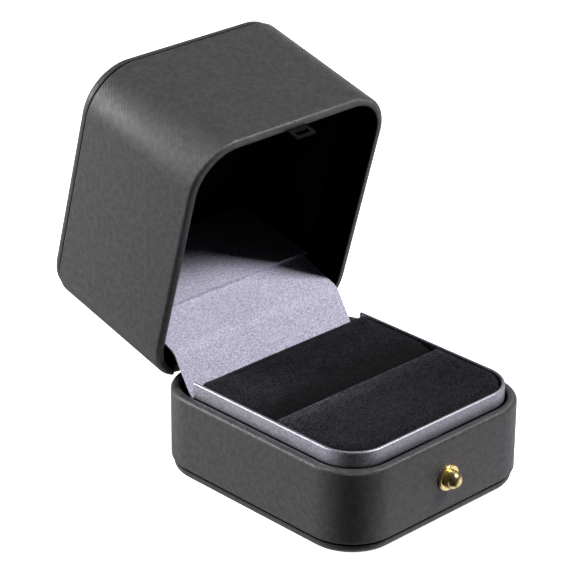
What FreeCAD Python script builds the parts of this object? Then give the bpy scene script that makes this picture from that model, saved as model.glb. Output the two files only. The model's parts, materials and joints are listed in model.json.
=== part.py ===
"""Push-button ring box: a wrapped base and lid on a sprung hinge, with a velvet ring insert.

Millimetres, +Z up. The origin is the centre of the underside that the box stands on. The
button is on the front face (-Y), the hinge runs along X inside the back face (+Y), and the
lid stands open on its stop. Lid pieces are drawn as if the box were shut, then swung open.
"""
import FreeCAD, Part
import math
import os

from FreeCAD import Vector

# Overall sizes of the shut box
overall_width = 60.0
overall_depth = 65.2
base_height = 20.7
lid_height = 38.5
corner_radius = 12.0
closing_gap = 0.3

# Leatherette, moulded frames and the wrapped plates that close the bottom and the top
wrap_thickness = 0.45
core_thickness = 1.6
rim_rounding = 1.1
plate_thickness = 2.8
plate_step = 0.6
plate_edge_rounding = 1.7
groove_rounding = 0.5
plate_turn_in = 7.0
ledge_width = 4.0
ledge_thickness = 1.2
base_turn_in = 6.0
lid_turn_in = 12.0

# Hinge
open_angle = 74.5
hinge_from_back = 1.6
hinge_below_rim = 0.7
hinge_end_margin = 1.0
pin_radius = 0.6
pin_clearance = 0.06
barrel_radius = 1.15
leaf_thickness = 0.5
leaf_height = 5.4
knuckle_length = 4.5
knuckle_gap = 0.3
spring_wire_radius = 0.18
spring_pitch = 1.05
spring_pin_gap = 0.14
spring_leaf_gap = 0.1
spring_leg = 2.2
rivet_shank_radius = 0.75
rivet_head_radius = 1.3
rivet_head_height = 0.35
rivet_from_end = 6.0
base_rivet_drop = 3.9
lid_rivet_rise = 5.2
lid_notch_inset = 7.0
lid_notch_clearance = 1.1
moving_clearance = 0.35

# Ring insert: satin-covered collar, tray and two velvet rolls
collar_clearance = 0.35
collar_rise = 3.3
collar_card = 0.5
satin_thickness = 0.2
hinge_channel = 12.0
tray_card = 0.8
tray_clearance = 0.3
tray_back_drop = 2.25
pad_clearance = 0.25
pad_edge_drop = 0.5
pad_crown_rise = 0.6
pad_edge_rounding = 1.8
pad_edge_reach = 2.2
slot_gap = 0.5

# Lid lining and the satin flap that hides the hinge
lining_depth = 10.6
lining_card = 0.7
ceiling_thickness = 2.5
lining_clearance = 0.2
back_panel_card = 1.0
panel_foot_from_back = 11.7
panel_head_from_back = 10.2
flap_card = 0.5
flap_side_inset = 4.0
flap_foot_from_back = 10.3
flap_foot_below_rim = 1.7
flap_crease_from_back = 4.4
flap_crease_above_rim = 7.6

# Push button and catch
button_height = 10.9
dome_radius = 2.15
dome_reach = 3.65
button_travel = 1.2
bezel_clearance = 0.06
flange_lip = 0.45
flange_thickness = 0.7
sleeve_wall = 0.45
sleeve_past_wall = 3.05
sleeve_end = 0.7
nut_wall = 0.95
nut_flat_depth = 0.35
nut_clearance = 0.15
nut_thickness = 1.0
stem_radius = 1.0
stem_end_radius = 0.7
plunger_back = 1.0
catch_gap = 0.5
catch_thickness = 0.5
catch_width = 6.0
catch_below_stem = 1.8
clip_radius = 1.5
button_spring_wire = 0.15
button_spring_gap = 0.05
button_spring_turns = 4

# Strike plate in the lid
strike_thickness = 0.4
strike_width = 6.0
strike_reach = 3.0
strike_height = 8.5
strike_gap = 0.3
window_width = 4.0
window_height = 1.5
window_margin = 0.7
hook_width = 3.0
hook_height = 0.4
hook_headroom = 0.3
strike_rivet_radius = 0.5
strike_rivet_head_radius = 0.9
strike_rivet_head_height = 0.25
strike_rivet_from_end = 1.8

# Places that follow from the sizes above
front_face = -overall_depth / 2
back_face = overall_depth / 2
wall_thickness = core_thickness + 2 * wrap_thickness
core_inset = wrap_thickness
cavity_inset = wrap_thickness + core_thickness
plate_top = plate_thickness + wrap_thickness
floor_height = plate_top + ledge_thickness
lid_rim = base_height + closing_gap
closed_height = lid_rim + lid_height
hinge_y = back_face - hinge_from_back
hinge_z = base_height - hinge_below_rim
leaf_face = back_face - wall_thickness
hinge_length = overall_width - 2 * (corner_radius + hinge_end_margin)
rivet_spacing = hinge_length - 2 * rivet_from_end
base_rivet_height = hinge_z - base_rivet_drop
lid_rivet_height = hinge_z + lid_rivet_rise
lid_notch_top = hinge_z + math.hypot(hinge_from_back, hinge_below_rim) + lid_notch_clearance
spring_radius = pin_radius + spring_pin_gap + spring_wire_radius
collar_inset = wall_thickness + collar_clearance
collar_thickness = collar_card + 2 * satin_thickness
collar_top = base_height + collar_rise
pad_inset = collar_inset + collar_thickness + pad_clearance
collar_end = back_face - hinge_channel
tray_floor_top = floor_height + tray_card
roll_front = front_face + pad_inset
roll_back = collar_end - tray_card - pad_clearance
slot_position = (roll_front + roll_back) / 2
sleeve_bore = dome_radius + bezel_clearance
sleeve_radius = sleeve_bore + sleeve_wall
sleeve_length = cavity_inset + sleeve_past_wall
nut_radius = sleeve_radius + nut_wall
catch_position = sleeve_length + catch_gap
strike_face = front_face + cavity_inset
strike_foot = lid_rim - strike_reach
catch_headroom = strike_foot + window_margin + window_height + hook_headroom
panel_foot = back_face - panel_foot_from_back
lining_top = closed_height - floor_height
ceiling_face = lining_top - ceiling_thickness

MARGIN = 1.0
X_AXIS = Vector(1, 0, 0)
Y_AXIS = Vector(0, 1, 0)
Z_AXIS = Vector(0, 0, 1)


def box(x, y, z):
    """A plain block between two values on each axis."""
    corner = Vector(x[0], y[0], z[0])
    return Part.makeBox(x[1] - x[0], y[1] - y[0], z[1] - z[0], corner)


def centred_box(width, y, z):
    """A plain block centred on the box's middle plane."""
    return box((-width / 2, width / 2), y, z)


def rod(radius, start, end):
    """A round bar between two points."""
    line = end.sub(start)
    return Part.makeCylinder(radius, line.Length, start, line)


def outline_block(inset, bottom, top):
    """The box's plan outline, drawn in by inset all round, between two heights."""
    x = overall_width / 2 - inset
    y = overall_depth / 2 - inset
    radius = corner_radius - inset
    slant = radius * (1 - math.sqrt(0.5))
    edges = []
    for side_x, side_y in ((1, -1), (1, 1), (-1, 1), (-1, -1)):
        along_y = Vector(side_x * x, side_y * (y - radius), bottom)
        corner = Vector(side_x * (x - slant), side_y * (y - slant), bottom)
        along_x = Vector(side_x * (x - radius), side_y * y, bottom)
        ends = (along_x, along_y) if side_x * side_y < 0 else (along_y, along_x)
        if edges:
            edges.append(Part.makeLine(edges[-1].Vertexes[-1].Point, ends[0]))
        edges.append(Part.Arc(ends[0], corner, ends[1]).toShape())
    edges.append(Part.makeLine(edges[-1].Vertexes[-1].Point, edges[0].Vertexes[0].Point))
    face = Part.Face(Part.Wire(Part.__sortEdges__(edges)))
    return face.extrude(Vector(0, 0, top - bottom))


def soften(shape, height, radius):
    """Round the edges that lie flat at one height."""
    edges = [
        edge for edge in shape.Edges
        if abs(edge.BoundBox.ZMin - height) < 1e-4 and abs(edge.BoundBox.ZMax - height) < 1e-4
    ]
    return shape.makeFillet(radius, edges)


def profile_bar(points, width):
    """A bar along X with the given corners in its Y-Z section."""
    corners = [Vector(-width / 2, y, z) for y, z in points]
    face = Part.Face(Part.makePolygon(corners + corners[:1]))
    return face.extrude(Vector(width, 0, 0))


def coil(radius, wire_radius, length, turns):
    """A round-wire coil along +Z that starts on +X."""
    path = Part.Wire(Part.makeHelix(length / turns, length, radius).Edges)
    start = path.Edges[0]
    tangent = start.tangentAt(start.FirstParameter)
    section = Part.Wire(Part.makeCircle(wire_radius, Vector(radius, 0, 0), tangent))
    return path.makePipeShell([section], True, True)


def swing_open(shape):
    """Swing a piece drawn on the shut lid to the open stop."""
    shape.rotate(Vector(0, hinge_y, hinge_z), X_AXIS, -open_angle)
    return shape


def as_lid(shape):
    """Turn a tub drawn plate-down into the shut lid, which is plate-up."""
    turned = shape.mirror(Vector(0, 0, 0), Z_AXIS)
    turned.translate(Vector(0, 0, closed_height))
    return turned


# Wrapped tubs. Each is drawn with its plate on z = 0 and its rim up.

def wall_core(height):
    """Moulded frame: the upright wall, with a ledge that the plate and the insert sit on."""
    solid = outline_block(core_inset, plate_top, height - wrap_thickness)
    frame = solid.cut(outline_block(cavity_inset, floor_height, height))
    frame = soften(frame, height - wrap_thickness, rim_rounding - wrap_thickness)
    return frame.cut(outline_block(cavity_inset + ledge_width, 0, height))


def wall_wrap(height, turn_in):
    """Leatherette round the frame, turned over the rim and under the lower edge."""
    skin = outline_block(0, plate_thickness, height)
    skin = skin.cut(outline_block(wall_thickness, floor_height, height + MARGIN))
    skin = soften(skin, height, rim_rounding)
    skin = soften(skin, plate_thickness, groove_rounding)
    frame = outline_block(core_inset, plate_top, height - wrap_thickness)
    cavity = outline_block(cavity_inset, floor_height, height - wrap_thickness)
    hollow = frame.cut(cavity)
    hollow = soften(hollow, height - wrap_thickness, rim_rounding - wrap_thickness)
    skin = skin.cut(hollow)
    skin = skin.cut(outline_block(cavity_inset, plate_top, height - turn_in))
    return skin.cut(outline_block(cavity_inset + ledge_width, 0, floor_height + MARGIN))


def plate_outer():
    """Outside of the wrapped plate."""
    plate = outline_block(plate_step, 0, plate_thickness)
    plate = soften(plate, 0, plate_edge_rounding)
    return soften(plate, plate_thickness, groove_rounding)


def plate_board():
    """Stiff board inside the wrapped plate."""
    top = plate_thickness - wrap_thickness
    board = outline_block(plate_step + wrap_thickness, wrap_thickness, top)
    return soften(board, wrap_thickness, plate_edge_rounding - wrap_thickness)


def plate_wrap():
    """Leatherette over the board, turned in on its hidden face."""
    hidden = outline_block(plate_step + plate_turn_in, wrap_thickness, plate_thickness)
    return plate_outer().cut(plate_board()).cut(hidden)


# Cut-outs in the walls

def barrel_notch():
    """Room for the hinge barrel in the base's back wall."""
    bottom = hinge_z - barrel_radius - moving_clearance
    length = hinge_length + 2 * moving_clearance
    depth = (leaf_face - MARGIN, back_face + MARGIN)
    return centred_box(length, depth, (bottom, lid_rim + MARGIN))


def lid_back_notch():
    """Relief along the lid's back rim, which lets it turn past the base."""
    width = overall_width - 2 * lid_notch_inset
    depth = (leaf_face - MARGIN, back_face + MARGIN)
    return centred_box(width, depth, (base_height - MARGIN, lid_notch_top))


def strike_recess():
    """Room for the strike's tongue down the inside of the base's front wall."""
    width = strike_width + 2 * moving_clearance
    outer = strike_face - strike_gap
    bottom = strike_foot - moving_clearance
    return centred_box(width, (outer, front_face + collar_inset), (bottom, base_height + MARGIN))


def strike_seat():
    """Cut in the lid's turned-in leatherette, which the strike lies in."""
    width = strike_width + 2 * lining_clearance
    inner = front_face + wall_thickness + MARGIN
    top = lid_rim + strike_height + lining_clearance
    return centred_box(width, (strike_face, inner), (lid_rim - MARGIN, top))


def button_hole(radius):
    """Hole through the base's front wall for the button's sleeve."""
    start = Vector(0, front_face - MARGIN, button_height)
    return rod(radius, start, Vector(0, front_face + cavity_inset + MARGIN, button_height))


def nut_room():
    """Room for the button's nut in the leatherette turned in below the rim."""
    start = Vector(0, front_face + cavity_inset, button_height)
    return rod(nut_radius + nut_clearance, start, start + Vector(0, wrap_thickness + MARGIN, 0))


def rivet_places(height):
    """Middles of the two rivets of a hinge leaf, on the leaf's face."""
    return [Vector(side * rivet_spacing / 2, leaf_face, height) for side in (-1, 1)]


def rivet_shanks(height):
    """Shanks through the leaf, the turned-in leatherette and the frame."""
    depth = core_thickness + wrap_thickness + leaf_thickness
    starts = [place - Vector(0, leaf_thickness, 0) for place in rivet_places(height)]
    shanks = [rod(rivet_shank_radius, at, at + Vector(0, depth, 0)) for at in starts]
    return Part.makeCompound(shanks)


# Base

def base_frame():
    frame = wall_core(base_height)
    frame = frame.cut(barrel_notch()).cut(strike_recess())
    return frame.cut(button_hole(sleeve_radius)).cut(rivet_shanks(base_rivet_height))


def base_leatherette():
    skin = wall_wrap(base_height, base_turn_in)
    skin = skin.cut(barrel_notch()).cut(strike_recess()).cut(nut_room())
    return skin.cut(button_hole(sleeve_radius)).cut(rivet_shanks(base_rivet_height))


# Lid

def lid_frame():
    frame = as_lid(wall_core(lid_height))
    frame = frame.cut(lid_back_notch())
    frame = frame.cut(strike_rivet_shanks()).cut(rivet_shanks(lid_rivet_height))
    return swing_open(frame)


def lid_leatherette():
    skin = as_lid(wall_wrap(lid_height, lid_turn_in))
    skin = skin.cut(lid_back_notch()).cut(strike_seat())
    return swing_open(skin.cut(rivet_shanks(lid_rivet_height)))


def lid_lining():
    """Card strip in dark cloth round the front and sides, from the lining's edge to the top."""
    bottom = lid_rim + lining_depth
    strip = outline_block(wall_thickness, bottom, lining_top)
    strip = strip.cut(outline_block(wall_thickness + lining_card, bottom - MARGIN, closed_height))
    behind = (panel_foot - lining_clearance, back_face)
    return swing_open(strip.cut(centred_box(overall_width, behind, (bottom - MARGIN, closed_height))))


def lid_ceiling_pad():
    """Thin cloth-covered pad glued under the lid's ledge."""
    inset = wall_thickness + lining_card + lining_clearance
    pad = outline_block(inset, ceiling_face, lining_top)
    pad = soften(pad, ceiling_face, ceiling_thickness / 2)
    behind = (panel_foot - lining_clearance, back_face)
    return swing_open(pad.cut(centred_box(overall_width, behind, (ceiling_face - MARGIN, closed_height))))


def lid_back_panel():
    """Satin-covered card that shuts off the hinge space inside the lid."""
    foot = lid_rim + lining_depth
    head = back_face - panel_head_from_back
    panel = profile_bar([
        (panel_foot, foot),
        (panel_foot + back_panel_card, foot),
        (head + back_panel_card, lining_top),
        (head, lining_top),
    ], overall_width)
    return swing_open(panel.common(outline_block(wall_thickness + lining_clearance, foot, lining_top)))


def rotated_open(y, z):
    """Where a point of the shut lid comes to when the lid is open."""
    angle = math.radians(open_angle)
    rise = z - hinge_z
    back = y - hinge_y
    return (
        hinge_y + back * math.cos(angle) + rise * math.sin(angle),
        hinge_z - back * math.sin(angle) + rise * math.cos(angle),
    )


def hinge_flap():
    """Soft satin flap from behind the insert up to the lid's back panel."""
    points = [
        Vector(0, back_face - flap_foot_from_back, base_height - flap_foot_below_rim),
        Vector(0, back_face - flap_crease_from_back, base_height + flap_crease_above_rim),
        Vector(0, *rotated_open(panel_foot, lid_rim + lining_depth - lining_clearance)),
    ]
    normals = []
    for start, end in zip(points, points[1:]):
        run = end.sub(start).normalize()
        normals.append(Vector(0, run.z, -run.y))
    corner = normals[0].add(normals[1])
    corner = corner.multiply(flap_card / (1 + normals[0].dot(normals[1])))
    offsets = [normals[0] * flap_card, corner, normals[1] * flap_card]
    backs = [point.add(offset) for point, offset in zip(points, offsets)]
    section = [(point.y, point.z) for point in points + backs[::-1]]
    return profile_bar(section, overall_width - 2 * flap_side_inset)


# Hinge

def knuckle_spans():
    """Spans along X of the base's two outer knuckles and the lid's two inner ones."""
    outer = hinge_length / 2
    inner = outer - knuckle_length
    lid_outer = inner - knuckle_gap
    base = [(-outer, -inner), (inner, outer)]
    lid = [(-lid_outer, -lid_outer + knuckle_length), (lid_outer - knuckle_length, lid_outer)]
    return base, lid


def hinge_leaf(spans, up, bore):
    """Pressed leaf with rolled knuckles; up is 1 for the lid's leaf and -1 for the base's."""
    near = hinge_z + up * (barrel_radius + moving_clearance)
    far = near + up * leaf_height
    low, high = min(near, far), max(near, far)
    depth = (leaf_face - leaf_thickness, leaf_face)
    leaf = centred_box(hinge_length, depth, (low, high))
    root = hinge_z + up * leaf_thickness
    reach = (leaf_face - leaf_thickness, hinge_y)
    for start, end in spans:
        low, high = min(hinge_z, far), max(hinge_z, far)
        leaf = leaf.fuse(box((start, end), depth, (low, high)))
        leaf = leaf.fuse(box((start, end), reach, (min(hinge_z, root), max(hinge_z, root))))
        centre = Vector(start, hinge_y, hinge_z)
        leaf = leaf.fuse(Part.makeCylinder(barrel_radius, end - start, centre, X_AXIS))
    # The coil's legs lie against the leaves in the gap between the lid's knuckles.
    gap = spring_span() + 2 * knuckle_gap
    leaf = leaf.cut(centred_box(gap, depth, (hinge_z - spring_leg, hinge_z + spring_leg)))
    start = Vector(-hinge_length, hinge_y, hinge_z)
    return leaf.cut(rod(bore, start, start + Vector(2 * hinge_length, 0, 0))).removeSplitter()


def spring_span():
    """Length along X that the coil fills between the lid's knuckles."""
    lid = knuckle_spans()[1]
    return lid[1][0] - lid[0][1] - 2 * knuckle_gap


def hinge_base_leaf():
    leaf = hinge_leaf(knuckle_spans()[0], -1, pin_radius)
    return leaf.cut(rivet_shanks(base_rivet_height))


def hinge_lid_leaf():
    leaf = hinge_leaf(knuckle_spans()[1], 1, pin_radius + pin_clearance)
    return swing_open(leaf.cut(rivet_shanks(lid_rivet_height)))


def hinge_pin():
    start = Vector(-hinge_length / 2, hinge_y, hinge_z)
    return rod(pin_radius, start, start + Vector(hinge_length, 0, 0))


def spring_leg_wire(side, up):
    """Bent end of the coil, which presses on a leaf."""
    x = side * (spring_span() / 2 - spring_wire_radius)
    face = leaf_face - leaf_thickness - spring_wire_radius - spring_leaf_gap
    start = Vector(x, hinge_y - spring_radius, hinge_z)
    bend = Vector(x, face, hinge_z + up * spring_leg)
    end = Vector(x, face, hinge_z + up * 2 * spring_leg)
    leg = rod(spring_wire_radius, start, bend).fuse(rod(spring_wire_radius, bend, end))
    return leg.fuse(Part.makeSphere(spring_wire_radius, bend))


def hinge_spring():
    """Torsion coil round the pin, wound up as the lid shuts."""
    length = spring_span() - 2 * spring_wire_radius
    turns = math.floor(length / spring_pitch) + (360 - open_angle) / 360
    wire = coil(spring_radius, spring_wire_radius, length, turns)
    wire.rotate(Vector(0, 0, 0), Y_AXIS, 90)
    wire.rotate(Vector(0, 0, 0), X_AXIS, -90)
    wire.translate(Vector(-length / 2, hinge_y, hinge_z))
    wire = wire.fuse(spring_leg_wire(-1, -1))
    return wire.fuse(swing_open(spring_leg_wire(1, 1)))


def leaf_rivets(height):
    """Two rivets that hold a leaf to its back wall."""
    solids = []
    for shank, place in zip(rivet_shanks(height).Solids, rivet_places(height)):
        face = place - Vector(0, leaf_thickness, 0)
        head = rod(rivet_head_radius, face - Vector(0, rivet_head_height, 0), face)
        solids.append(shank.fuse(head).removeSplitter())
    return Part.makeCompound(solids)


def hinge_base_rivets():
    return leaf_rivets(base_rivet_height)


def hinge_lid_rivets():
    return swing_open(leaf_rivets(lid_rivet_height))


# Ring insert

def insert_tray():
    """Folded card that carries the velvet rolls: a floor and a back upright."""
    inset = cavity_inset + tray_clearance
    floor = outline_block(inset, floor_height, tray_floor_top)
    back = (collar_end, overall_depth)
    floor = floor.cut(centred_box(overall_width, back, (0, base_height)))
    width = overall_width - 2 * pad_inset
    top = collar_top - tray_back_drop
    upright = centred_box(width, (collar_end - tray_card, collar_end), (floor_height, top))
    return floor.fuse(upright).removeSplitter()


def collar_strip(outer, inner, bottom, top):
    """Upright strip round the front and sides of the insert, open at the back."""
    strip = outline_block(outer, bottom, top)
    strip = strip.cut(outline_block(inner, bottom - MARGIN, top + MARGIN))
    behind = (collar_end, overall_depth)
    return strip.cut(centred_box(overall_width, behind, (bottom - MARGIN, top + MARGIN)))


def catch_window():
    """Opening in the front of the collar, below the rim, for the catch."""
    width = catch_width + 2 * MARGIN
    return centred_box(width, (front_face, front_face + 2 * pad_inset), (0, catch_headroom))


def collar_board():
    inner = collar_inset + satin_thickness + collar_card
    strip = collar_strip(collar_inset + satin_thickness, inner, tray_floor_top, collar_top - satin_thickness)
    return strip.cut(catch_window())


def collar_satin():
    """Satin glued over the collar's card, outside, over the top and a little way inside."""
    low = base_height - base_turn_in
    cover = collar_strip(collar_inset, collar_inset + collar_thickness, low, collar_top)
    cover = cover.cut(collar_board())
    return cover.cut(catch_window())


def velvet_roll(front, back):
    """Foam roll in velvet: flat sides, and a low crown that rolls down at its edges."""
    low = tray_floor_top
    middle = (front + back) / 2
    edge = collar_top - pad_edge_drop
    shoulder = edge - pad_edge_rounding
    corners = [
        Vector(0, front, low),
        Vector(0, front, shoulder),
        Vector(0, front + pad_edge_reach, edge),
        Vector(0, middle, collar_top + pad_crown_rise),
        Vector(0, back - pad_edge_reach, edge),
        Vector(0, back, shoulder),
        Vector(0, back, low),
    ]
    edges = [
        Part.makeLine(corners[0], corners[1]),
        Part.makeLine(corners[1], corners[2]),
        Part.Arc(corners[2], corners[3], corners[4]).toShape(),
        Part.makeLine(corners[4], corners[5]),
        Part.makeLine(corners[5], corners[6]),
        Part.makeLine(corners[6], corners[0]),
    ]
    roll = Part.Face(Part.Wire(edges)).extrude(Vector(overall_width, 0, 0))
    roll.translate(Vector(-overall_width / 2, 0, 0))
    return roll.common(outline_block(pad_inset, low, collar_top + MARGIN))


def catch_pocket():
    """Room behind the front wall for the sleeve, the catch and its travel."""
    width = catch_width + 2 * MARGIN
    back = front_face + catch_position + catch_thickness + 2 * button_travel + MARGIN
    return centred_box(width, (front_face, back), (tray_floor_top - MARGIN, catch_headroom))


def front_velvet_roll():
    return velvet_roll(roll_front, slot_position - slot_gap / 2).cut(catch_pocket())


def rear_velvet_roll():
    return velvet_roll(slot_position + slot_gap / 2, roll_back)


# Push button and catch

def on_button(offset):
    """A point on the button's axis, so far behind the front face."""
    return Vector(0, front_face + offset, button_height)


def button_bezel():
    """Turned brass bezel: a rounded flange and the sleeve through the wall."""
    flange = rod(sleeve_radius + flange_lip, on_button(-flange_thickness), on_button(0))
    rim = [edge for edge in flange.Edges if abs(edge.BoundBox.YMin - (front_face - flange_thickness)) < 1e-4]
    rim = [edge for edge in rim if abs(edge.BoundBox.YMax - edge.BoundBox.YMin) < 1e-4]
    flange = flange.makeFillet(flange_thickness / 2, rim)
    sleeve = rod(sleeve_radius, on_button(0), on_button(sleeve_length))
    bezel = flange.fuse(sleeve)
    bezel = bezel.cut(rod(sleeve_bore, on_button(-dome_reach), on_button(sleeve_length - sleeve_end)))
    bore = stem_radius + bezel_clearance
    return bezel.cut(rod(bore, on_button(0), on_button(sleeve_length + MARGIN))).removeSplitter()


def bezel_nut():
    """Round nut that pulls the bezel's flange against the front wall."""
    nut = rod(nut_radius, on_button(cavity_inset), on_button(cavity_inset + nut_thickness))
    nut = nut.cut(rod(sleeve_radius, on_button(0), on_button(sleeve_length)))
    height = (button_height - nut_radius, button_height + nut_radius)
    return nut.common(centred_box(2 * (nut_radius - nut_flat_depth), (front_face, 0), height))


def push_button():
    """Domed button with a stem that carries the catch."""
    dome_centre = on_button(dome_radius - dome_reach)
    body = rod(dome_radius, dome_centre, on_button(plunger_back))
    body = body.fuse(Part.makeSphere(dome_radius, dome_centre))
    stem = rod(stem_radius, on_button(plunger_back), on_button(catch_position))
    tip = rod(stem_end_radius, on_button(catch_position), on_button(catch_position + 3 * catch_thickness))
    return body.fuse(stem).fuse(tip).removeSplitter()


def button_spring():
    """Compression coil round the stem, between the button and the sleeve's end."""
    end_space = button_spring_wire + button_spring_gap
    length = sleeve_length - sleeve_end - plunger_back - 2 * end_space
    radius = (stem_radius + sleeve_bore) / 2
    wire = coil(radius, button_spring_wire, length, button_spring_turns)
    wire.rotate(Vector(0, 0, 0), X_AXIS, -90)
    wire.translate(on_button(plunger_back + end_space))
    return wire


def catch_plate():
    """Bent steel plate on the stem, whose hook points forward into the strike's window."""
    low = button_height - catch_below_stem
    hook_low = strike_foot + window_margin + (window_height - hook_height) / 2
    back = (on_button(catch_position).y, on_button(catch_position + catch_thickness).y)
    plate = centred_box(catch_width, back, (low, hook_low + hook_height))
    hook = centred_box(hook_width, (strike_face, back[1]), (hook_low, hook_low + hook_height))
    hole = rod(stem_end_radius, on_button(catch_position - MARGIN), on_button(catch_position + MARGIN))
    return plate.fuse(hook).removeSplitter().cut(hole)


def stem_clip():
    """Push-on ring that keeps the catch on the stem."""
    start = catch_position + catch_thickness
    ring = rod(clip_radius, on_button(start), on_button(start + catch_thickness))
    return ring.cut(rod(stem_end_radius, on_button(start - MARGIN), on_button(start + 2 * MARGIN)))


# Strike

def strike_rivet_places():
    height = lid_rim + strike_height - strike_rivet_from_end
    return [Vector(side * strike_width / 4, strike_face + strike_thickness, height) for side in (-1, 1)]


def strike_rivet_shanks():
    depth = strike_thickness + core_thickness
    shanks = [rod(strike_rivet_radius, at, at - Vector(0, depth, 0)) for at in strike_rivet_places()]
    return Part.makeCompound(shanks)


def lid_strike():
    """Steel strip on the inside of the lid's front wall, with a window for the hook."""
    depth = (strike_face, strike_face + strike_thickness)
    strip = centred_box(strike_width, depth, (strike_foot, lid_rim + strike_height))
    low = strike_foot + window_margin
    window = centred_box(window_width, (depth[0] - MARGIN, depth[1] + MARGIN), (low, low + window_height))
    return swing_open(strip.cut(window).cut(strike_rivet_shanks()))


def strike_rivets():
    """Two small rivets through the strike and the lid's frame."""
    solids = []
    for shank, face in zip(strike_rivet_shanks().Solids, strike_rivet_places()):
        head = rod(strike_rivet_head_radius, face, face + Vector(0, strike_rivet_head_height, 0))
        solids.append(shank.fuse(head).removeSplitter())
    return swing_open(Part.makeCompound(solids))


NODES = {
    "bottom_board": plate_board,
    "bottom_leatherette": plate_wrap,
    "base_frame": base_frame,
    "base_leatherette": base_leatherette,
    "insert_tray": insert_tray,
    "collar_board": collar_board,
    "collar_satin": collar_satin,
    "front_velvet_roll": front_velvet_roll,
    "rear_velvet_roll": rear_velvet_roll,
    "button_bezel": button_bezel,
    "bezel_nut": bezel_nut,
    "push_button": push_button,
    "button_spring": button_spring,
    "catch_plate": catch_plate,
    "stem_clip": stem_clip,
    "hinge_base_leaf": hinge_base_leaf,
    "hinge_base_rivets": hinge_base_rivets,
    "hinge_pin": hinge_pin,
    "hinge_spring": hinge_spring,
    "hinge_lid_leaf": hinge_lid_leaf,
    "hinge_lid_rivets": hinge_lid_rivets,
    "lid_frame": lid_frame,
    "lid_leatherette": lid_leatherette,
    "lid_top_board": lambda: swing_open(as_lid(plate_board())),
    "lid_top_leatherette": lambda: swing_open(as_lid(plate_wrap())),
    "lid_lining": lid_lining,
    "lid_ceiling_pad": lid_ceiling_pad,
    "lid_back_panel": lid_back_panel,
    "hinge_flap": hinge_flap,
    "lid_strike": lid_strike,
    "strike_rivets": strike_rivets,
}

os.makedirs("parts", exist_ok=True)
for name, make in NODES.items():
    shape = make()
    print(name, "solids", len(shape.Solids), "valid", shape.isValid(), "volume", round(shape.Volume, 2))
    shape.exportStep("parts/" + name + ".step")
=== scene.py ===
import bmesh
import bpy
import json
import math

from mathutils import Matrix, Vector


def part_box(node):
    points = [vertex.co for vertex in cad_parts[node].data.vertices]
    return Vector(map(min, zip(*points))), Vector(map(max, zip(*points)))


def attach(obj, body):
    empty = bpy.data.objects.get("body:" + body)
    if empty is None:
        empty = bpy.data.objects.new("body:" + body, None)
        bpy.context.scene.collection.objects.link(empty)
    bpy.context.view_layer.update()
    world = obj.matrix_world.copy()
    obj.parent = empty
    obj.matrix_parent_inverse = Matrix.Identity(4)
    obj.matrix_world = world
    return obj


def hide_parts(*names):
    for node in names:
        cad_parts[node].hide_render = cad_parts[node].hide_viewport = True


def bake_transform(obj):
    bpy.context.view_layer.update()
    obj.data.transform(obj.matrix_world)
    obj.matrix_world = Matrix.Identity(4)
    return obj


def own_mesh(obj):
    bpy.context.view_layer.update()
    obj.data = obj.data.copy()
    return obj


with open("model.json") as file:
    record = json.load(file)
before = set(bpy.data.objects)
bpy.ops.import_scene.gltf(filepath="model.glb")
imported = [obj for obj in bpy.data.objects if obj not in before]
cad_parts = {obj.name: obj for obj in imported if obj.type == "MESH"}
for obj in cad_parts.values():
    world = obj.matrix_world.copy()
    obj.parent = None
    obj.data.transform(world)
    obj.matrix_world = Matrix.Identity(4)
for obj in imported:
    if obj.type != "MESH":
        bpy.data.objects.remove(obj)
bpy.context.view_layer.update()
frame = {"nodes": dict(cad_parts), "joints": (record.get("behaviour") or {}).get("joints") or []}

# The leatherette walls of the base and the lid. Each is a moulded tub with embossed leatherette
# glued round it, rolled over the rim, turned in below it, and tucked under the foot of the wall.
# The lid's is the same wrap, taller and turned over, and both are cut back for hinge and strike.

MM = 0.001
scene = bpy.context.scene
nodes = frame["nodes"]
lid_joint = next(joint for joint in frame["joints"] if joint["name"] == "lid_hinge")
hinge_axis = Vector(lid_joint["pos_m"])
open_angle = math.radians(lid_joint["range_deg"][1])
turn_about_hinge = Matrix.Rotation(-open_angle, 4, "X")
to_open = Matrix.Translation(hinge_axis) @ turn_about_hinge @ Matrix.Translation(-hinge_axis)
to_shut = to_open.inverted()

wrap = 0.45 * MM
wall = 2.5 * MM
corner_radius = 12.0 * MM
rim_rounding = 1.1 * MM
groove_rounding = 0.5 * MM
base_turn_in = 6.0 * MM
lid_turn_in = 12.0 * MM
tucked_under = 3.0 * MM
cut_clearance = 0.35 * MM
strike_clearance = 0.08 * MM


def shut_box(node):
    """Corners of a lid piece as it lies when the box is shut."""
    points = [to_shut @ vertex.co for vertex in nodes[node].data.vertices]
    low = Vector(min(point[i] for point in points) for i in range(3))
    high = Vector(max(point[i] for point in points) for i in range(3))
    return low, high


def filleted(corners, steps=6):
    """Points of a section whose corners are (out, up, radius); a radius of 0 stays sharp."""
    points = []
    for i, (out, up, radius) in enumerate(corners):
        here = Vector((out, up))
        if radius == 0:
            points.append(here)
            continue
        before = (Vector(corners[i - 1][:2]) - here).normalized()
        after = (Vector(corners[(i + 1) % len(corners)][:2]) - here).normalized()
        half = before.angle(after) / 2
        centre = here + (before + after).normalized() * (radius / math.sin(half))
        start = here + before * (radius / math.tan(half)) - centre
        end = here + after * (radius / math.tan(half)) - centre
        turn = start.angle_signed(end)
        points += [centre + Matrix.Rotation(-turn * k / steps, 2) @ start for k in range(steps + 1)]
    return points


def group_input(tree, name, kind):
    tree.interface.new_socket(name, in_out="INPUT", socket_type=kind)


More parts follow.
